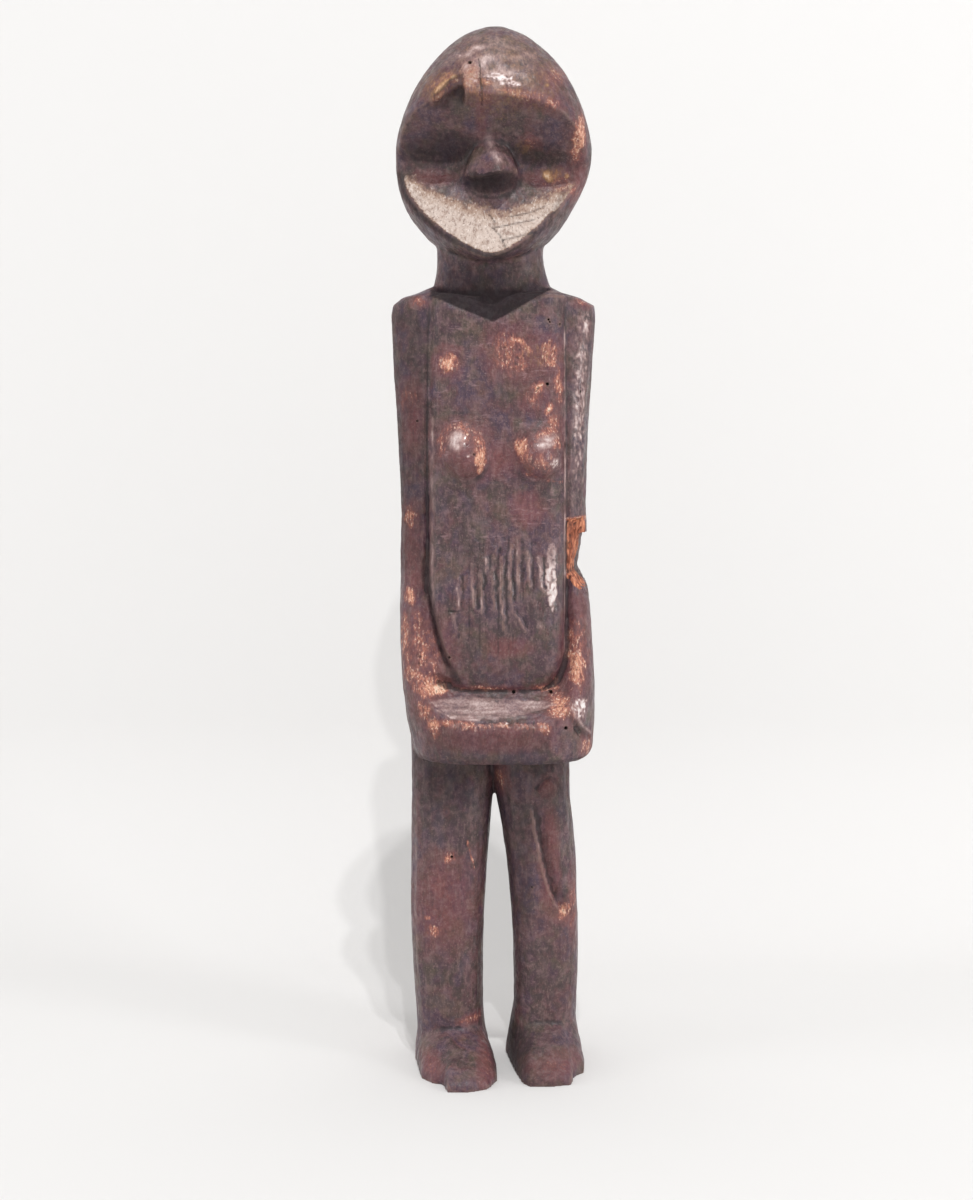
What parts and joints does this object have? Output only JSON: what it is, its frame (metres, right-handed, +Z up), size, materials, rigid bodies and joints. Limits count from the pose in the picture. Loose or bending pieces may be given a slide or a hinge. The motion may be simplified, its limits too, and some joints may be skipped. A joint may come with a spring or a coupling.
{
  "type": "carved wooden figure",
  "caption": "Standing figure carved from one billet of dark wood: egg-shaped head with a hollowed face and stub nose, board-like trunk framed by the arms, thick legs and blunt feet.",
  "frame": {"origin": "on the ground, in the middle of the figure's footprint box", "axes": "+Z up, the face and toes look along -Y, +X is to the right of someone who faces the figure"},
  "size_m": [0.1253, 0.1169, 0.64],
  "materials": {
    "patinated_wood": "semi-gloss dark patina over reddish wood, worn bare on the high edges, with pale clay on the lower face"
  },
  "bodies": {
    "root": {"carved_figure": "patinated_wood"}
  },
  "joints": []
}
